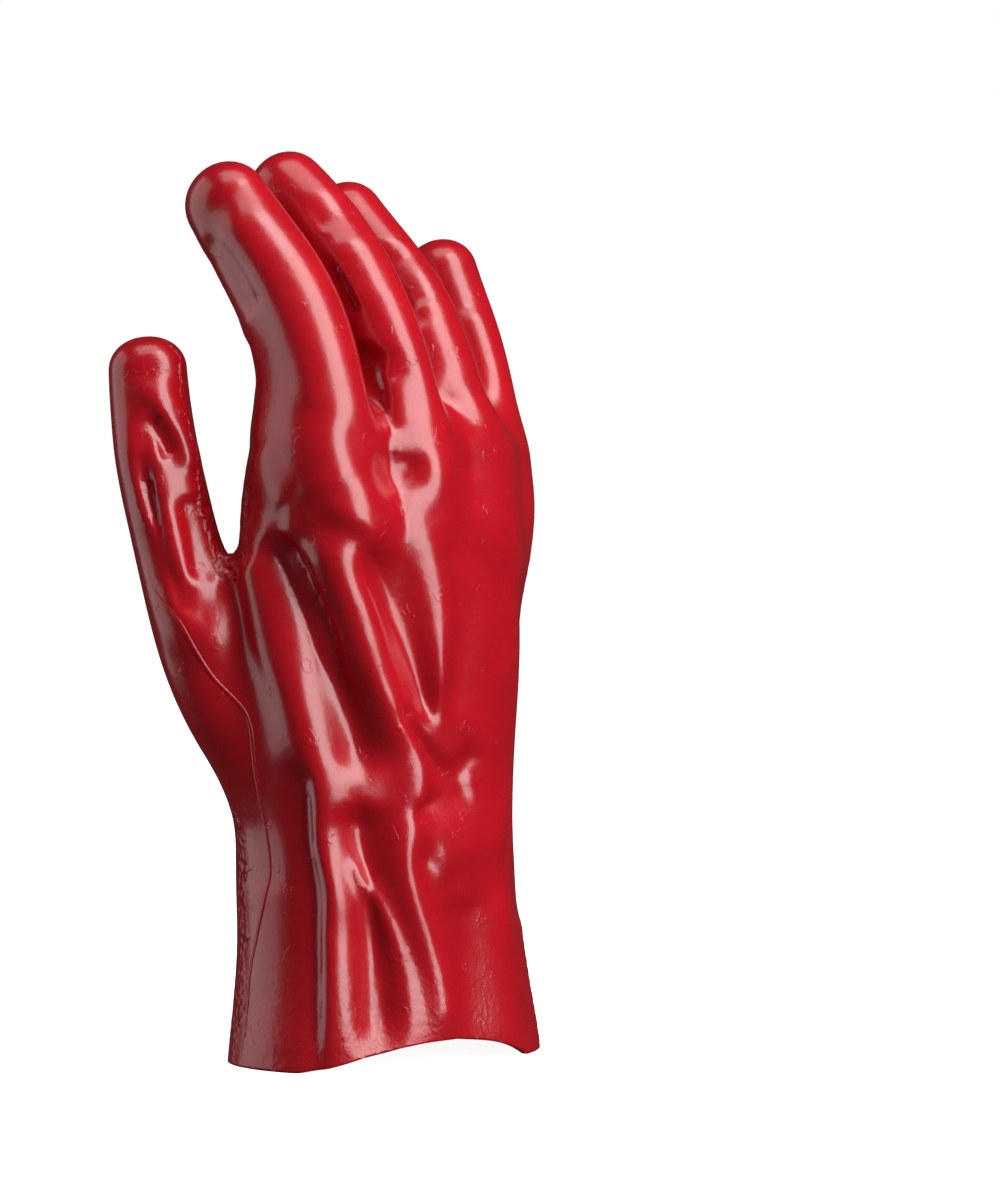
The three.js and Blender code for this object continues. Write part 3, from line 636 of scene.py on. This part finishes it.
# PVC: wet-looking red, smooth with a fine leathery grain on the back, crumbed on the palm side.
PVC_RED = (0.40, 0.0030, 0.0100, 1)
PVC_DEEP = (0.31, 0.0020, 0.0072, 1)
GRAIN = 1050.0  # cells to the metre
CRUMB = 420.0


def pvc_material():
    material = bpy.data.materials.new("pvc_red")
    material.use_nodes = True
    tree = material.node_tree
    nodes, links = tree.nodes, tree.links
    shader = nodes["Principled BSDF"]
    shader.inputs["IOR"].default_value = 1.52
    shader.inputs["Coat Weight"].default_value = 0.2
    shader.inputs["Coat Roughness"].default_value = 0.1
    place = nodes.new("ShaderNodeTexCoord").outputs["Object"]

    def noise(scale, detail=3.0, rough=0.55):
        node = nodes.new("ShaderNodeTexNoise")
        node.inputs["Scale"].default_value = scale
        node.inputs["Detail"].default_value = detail
        node.inputs["Roughness"].default_value = rough
        links.new(place, node.inputs["Vector"])
        return node.outputs["Fac"]

    def math_node(kind, a, b):
        node = nodes.new("ShaderNodeMath")
        node.operation = kind
        for socket, value in zip(node.inputs, (a, b)):
            if isinstance(value, (int, float)):
                socket.default_value = value
            else:
                links.new(value, socket)
        return node.outputs[0]

    def ranged(value, low, high, to_low, to_high):
        node = nodes.new("ShaderNodeMapRange")
        links.new(value, node.inputs["Value"])
        for name, number in (("From Min", low), ("From Max", high), ("To Min", to_low), ("To Max", to_high)):
            node.inputs[name].default_value = number
        return node.outputs[0]

    def mask(name):
        node = nodes.new("ShaderNodeAttribute")
        node.attribute_name = name
        return node.outputs["Fac"]

    palm, hem = mask("palm_side"), mask("near_hem")
    ragged = math_node("ADD", palm, ranged(noise(130, 4), 0.35, 0.65, -0.35, 0.35))
    crumbed = ranged(ragged, 0.3, 0.7, 0, 1)

    tone = nodes.new("ShaderNodeMix")
    tone.data_type = "RGBA"
    links.new(ranged(noise(38, 4), 0.3, 0.7, 0, 1), tone.inputs["Factor"])
    tone.inputs["A"].default_value = PVC_RED
    tone.inputs["B"].default_value = PVC_DEEP
    links.new(tone.outputs["Result"], shader.inputs["Base Color"])

    roughness = math_node("ADD", ranged(noise(300, 5), 0.3, 0.7, 0.22, 0.28), math_node("MULTIPLY", hem, 0.06))
    links.new(roughness, shader.inputs["Roughness"])

    # grain
    grain = nodes.new("ShaderNodeTexVoronoi")
    grain.feature = "SMOOTH_F1"
    grain.inputs["Scale"].default_value = GRAIN
    links.new(place, grain.inputs["Vector"])
    fine = math_node("ADD", math_node("MULTIPLY", grain.outputs["Distance"], 0.5), noise(2400, 4))
    peel = noise(520, 3)
    crumb = nodes.new("ShaderNodeTexVoronoi")
    crumb.feature = "SMOOTH_F1"
    crumb.inputs["Scale"].default_value = CRUMB
    crumb.inputs["Smoothness"].default_value = 0.4
    links.new(place, crumb.inputs["Vector"])
    lumps = math_node("MULTIPLY", math_node("SUBTRACT", 1.0, crumb.outputs["Distance"]), crumbed)

    def bump(height, distance, strength, normal=None):
        node = nodes.new("ShaderNodeBump")
        node.inputs["Distance"].default_value = distance
        if isinstance(strength, (int, float)):
            node.inputs["Strength"].default_value = strength
        else:
            links.new(strength, node.inputs["Strength"])
        links.new(height, node.inputs["Height"])
        if normal is not None:
            links.new(normal, node.inputs["Normal"])
        return node.outputs["Normal"]

    normal = bump(lumps, 0.0009, 0.9)
    normal = bump(peel, 0.0003, ranged(hem, 0, 1, 0.15, 0.8), normal)
    normal = bump(fine, 0.00008, 0.35, normal)
    links.new(normal, shader.inputs["Normal"])
    return material


# The inside is the knitted cotton itself, off-white, in fine ribs.
COTTON = (0.74, 0.70, 0.62, 1)
RIBS = 620.0  # to the metre


def lining_material():
    material = bpy.data.materials.new("cotton_jersey")
    material.use_nodes = True
    nodes, links = material.node_tree.nodes, material.node_tree.links
    shader = nodes["Principled BSDF"]
    shader.inputs["Base Color"].default_value = COTTON
    shader.inputs["Roughness"].default_value = 0.9
    shader.inputs["Sheen Weight"].default_value = 0.3
    place = nodes.new("ShaderNodeTexCoord").outputs["Object"]
    ribs = nodes.new("ShaderNodeTexWave")
    ribs.bands_direction = "X"
    ribs.inputs["Scale"].default_value = RIBS / 20
    ribs.inputs["Distortion"].default_value = 0.6
    links.new(place, ribs.inputs["Vector"])
    relief = nodes.new("ShaderNodeBump")
    relief.inputs["Distance"].default_value = 0.0004
    links.new(ribs.outputs["Fac"], relief.inputs["Height"])
    links.new(relief.outputs["Normal"], shader.inputs["Normal"])
    return material


glove_mesh.materials.append(pvc_material())
glove_mesh.materials.append(lining_material())
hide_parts("glove_shell")
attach(glove, "root")

# Raised seam
# The seam of the knitted hand shows through the coating as a thin raised line. It runs from the root of the
# thumb down the thumb's side of the cuff to the hem.

BEAD_RADIUS, BEAD_DEPTH = 0.0009, 0.00058  # how thick, and how far its middle lies below the skin
BEAD_POINTS = 160
BEADS = [
    [
        ("thumb", 0.60, -48), ("thumb", 0.56, -35), ("thumb", 0.50, -12), ("thumb", 0.39, 3), ("body", 1.28, -98),
        ("body", 1.12, -93), ("body", 0.87, -90), ("body", 0.74, -91), ("body", 0.55, -96), ("body", 0.39, -100),
        ("body", 0.20, -100), ("body", 0.05, -100),
    ],
]


def draw_to_skin(points, passes=6):
    for _ in range(passes):
        here, slope = slope_of(points)
        points = points - slope * here[:, None] / np.maximum((slope**2).sum(1), 0.05)[:, None]
    return points


def bead_tree(material):
    """Nodes that give lines of points a round bead, thinned out towards its two ends."""
    tree = bpy.data.node_groups.new("bead", "GeometryNodeTree")
    tree.interface.new_socket("Geometry", in_out="INPUT", socket_type="NodeSocketGeometry")
    radius = tree.interface.new_socket("Bead radius", in_out="INPUT", socket_type="NodeSocketFloat")
    count = tree.interface.new_socket("Points along it", in_out="INPUT", socket_type="NodeSocketInt")
    tree.interface.new_socket("Geometry", in_out="OUTPUT", socket_type="NodeSocketGeometry")
    nodes, links = tree.nodes, tree.links
    given, result = nodes.new("NodeGroupInput"), nodes.new("NodeGroupOutput")
    line = nodes.new("GeometryNodeMeshToCurve")
    links.new(given.outputs["Geometry"], line.inputs["Mesh"])
    even = nodes.new("GeometryNodeResampleCurve")
    links.new(line.outputs["Curve"], even.inputs["Curve"])
    links.new(given.outputs["Points along it"], even.inputs["Count"])
    place = nodes.new("GeometryNodeSplineParameter")
    taper = nodes.new("ShaderNodeFloatCurve")
    links.new(place.outputs["Factor"], taper.inputs["Value"])
    ends = taper.mapping.curves[0]
    ends.points[0].location = (0, 0.1)
    ends.points[1].location = (1, 0.1)
    ends.points.new(0.12, 1)
    ends.points.new(0.88, 1)
    width = nodes.new("GeometryNodeSetCurveRadius")
    links.new(even.outputs["Curve"], width.inputs["Curve"])
    links.new(taper.outputs["Value"], width.inputs["Radius"])
    ring = nodes.new("GeometryNodeCurvePrimitiveCircle")
    ring.inputs["Resolution"].default_value = 8
    links.new(given.outputs["Bead radius"], ring.inputs["Radius"])
    bead = nodes.new("GeometryNodeCurveToMesh")
    links.new(width.outputs["Curve"], bead.inputs["Curve"])
    links.new(ring.outputs["Curve"], bead.inputs["Profile Curve"])
    if "Scale" in bead.inputs:
        links.new(taper.outputs["Value"], bead.inputs["Scale"])
    bead.inputs["Fill Caps"].default_value = True
    smooth = nodes.new("GeometryNodeSetShadeSmooth")
    links.new(bead.outputs["Mesh"], smooth.inputs["Geometry"])
    plain = nodes.new("GeometryNodeRealizeInstances")
    links.new(smooth.outputs["Geometry"], plain.inputs["Geometry"])
    coated = nodes.new("GeometryNodeSetMaterial")
    coated.inputs["Material"].default_value = material
    links.new(plain.outputs["Geometry"], coated.inputs["Geometry"])
    links.new(coated.outputs["Geometry"], result.inputs["Geometry"])
    return tree, radius.identifier, count.identifier


bead_vertices, bead_edges = [], []
for path in BEADS:
    line = draw_to_skin(smooth_rows([skin_point(*place) for place in path], 8 * len(path)))
    slope = slope_of(line)[1]
    line -= slope / np.linalg.norm(slope, axis=1, keepdims=True) * BEAD_DEPTH * 1000
    line[:, :2] += skin_shift
    first = len(bead_vertices)
    bead_vertices += (line * 0.001).tolist()
    bead_edges += [(n, n + 1) for n in range(first, first + len(line) - 1)]
bead_lines = bpy.data.meshes.new("bead_lines")
bead_lines.from_pydata(bead_vertices, bead_edges, [])
bead_source = bpy.data.objects.new("bead_lines", bead_lines)
bpy.context.scene.collection.objects.link(bead_source)
bead_nodes, radius_socket, points_socket = bead_tree(glove_mesh.materials[0])
modifier = bead_source.modifiers.new("bead", "NODES")
modifier.node_group = bead_nodes
modifier[radius_socket] = BEAD_RADIUS
modifier[points_socket] = BEAD_POINTS
evaluated = bead_source.evaluated_get(bpy.context.evaluated_depsgraph_get())
bead_mesh = bpy.data.meshes.new_from_object(evaluated)
bpy.data.objects.remove(bead_source)
beads = bpy.data.objects.new("raised_seam", bead_mesh)
bpy.context.scene.collection.objects.link(beads)
print("beads", len(bead_mesh.vertices), len(bead_mesh.materials))
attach(beads, "root")

# Room
# A pale floor, and three large soft lamps: one on the thumb's side, one in front and one from the right.

CAMERA_AZIMUTH, CAMERA_ELEVATION = math.radians(-48.0), math.radians(4.0)
CAMERA_DISTANCE = 2.2
SCALE = 0.29e-3  # metres to a pixel of a picture 1000 wide and 1200 high
ORIGIN_PIXEL = (355.0, 1053.0)

floor_mesh = bpy.data.meshes.new("floor")
floor_mesh.from_pydata([(-60, -60, 0), (60, -60, 0), (60, 60, 0), (-60, 60, 0)], [], [(0, 1, 2, 3)])
floor = bpy.data.objects.new("floor", floor_mesh)
bpy.context.scene.collection.objects.link(floor)
floor_material = bpy.data.materials.new("floor")
floor_material.use_nodes = True
floor_material.node_tree.nodes["Principled BSDF"].inputs["Base Color"].default_value = (0.86, 0.86, 0.86, 1)
floor_material.node_tree.nodes["Principled BSDF"].inputs["Roughness"].default_value = 0.9
floor_material.node_tree.nodes["Principled BSDF"].inputs["Emission Color"].default_value = (1, 1, 1, 1)
floor_material.node_tree.nodes["Principled BSDF"].inputs["Emission Strength"].default_value = 0.88
floor_mesh.materials.append(floor_material)
floor.visible_glossy = False
floor.visible_diffuse = False

back = Vector((
    math.sin(CAMERA_AZIMUTH) * math.cos(CAMERA_ELEVATION),
    -math.cos(CAMERA_AZIMUTH) * math.cos(CAMERA_ELEVATION),
    math.sin(CAMERA_ELEVATION),
))
right = Vector((math.cos(CAMERA_AZIMUTH), math.sin(CAMERA_AZIMUTH), 0))
up = back.cross(right)
target = right * (500 - ORIGIN_PIXEL[0]) * SCALE + up * (ORIGIN_PIXEL[1] - 600) * SCALE
camera_data = bpy.data.cameras.new("camera")
camera_data.sensor_fit = "VERTICAL"
camera_data.sensor_height = 36
camera_data.lens = 36 * CAMERA_DISTANCE / (1200 * SCALE)
camera = bpy.data.objects.new("camera", camera_data)
camera.location = target + back * CAMERA_DISTANCE
camera.rotation_euler = back.to_track_quat("Z", "Y").to_euler()
bpy.context.scene.collection.objects.link(camera)
bpy.context.scene.camera = camera


def lamp(name, azimuth, elevation, distance, size, power):
    """A soft lamp whose place is given by its angle from the camera's own direction, in degrees."""
    a, e = CAMERA_AZIMUTH + math.radians(azimuth), math.radians(elevation)
    direction = Vector((math.sin(a) * math.cos(e), -math.cos(a) * math.cos(e), math.sin(e)))
    data = bpy.data.lights.new(name, "AREA")
    data.shape = "RECTANGLE"
    data.size, data.size_y = size
    data.energy = power
    thing = bpy.data.objects.new(name, data)
    thing.location = Vector((0, 0, 0.14)) + direction * distance
    thing.rotation_euler = direction.to_track_quat("Z", "Y").to_euler()
    bpy.context.scene.collection.objects.link(thing)


lamp("left_lamp", -96, 10, 1.2, (1.1, 1.5), 6.5)
lamp("right_lamp", 54, 28, 1.2, (0.8, 1.9), 30)
lamp("top_lamp", 10, 78, 1.3, (1.2, 0.8), 8)

# the room is white to the camera, and dim in what it lights and in the gloss
world = bpy.data.worlds.new("room")
world.use_nodes = True
world_nodes, world_links = world.node_tree.nodes, world.node_tree.links
background = world_nodes["Background"]
background.inputs["Color"].default_value = (1, 1, 1, 1)
path = world_nodes.new("ShaderNodeLightPath")
seen = world_nodes.new("ShaderNodeMapRange")
world_links.new(path.outputs["Is Camera Ray"], seen.inputs["Value"])
seen.inputs["To Max"].default_value = 1.0
world_links.new(seen.outputs[0], background.inputs["Strength"])
dim = world_nodes.new("ShaderNodeMapRange")
world_links.new(path.outputs["Is Glossy Ray"], dim.inputs["Value"])
dim.inputs["To Min"].default_value = 0.2
dim.inputs["To Max"].default_value = 0.03
world_links.new(dim.outputs[0], seen.inputs["To Min"])
bpy.context.scene.world = world
bpy.context.scene.view_settings.view_transform = "Standard"
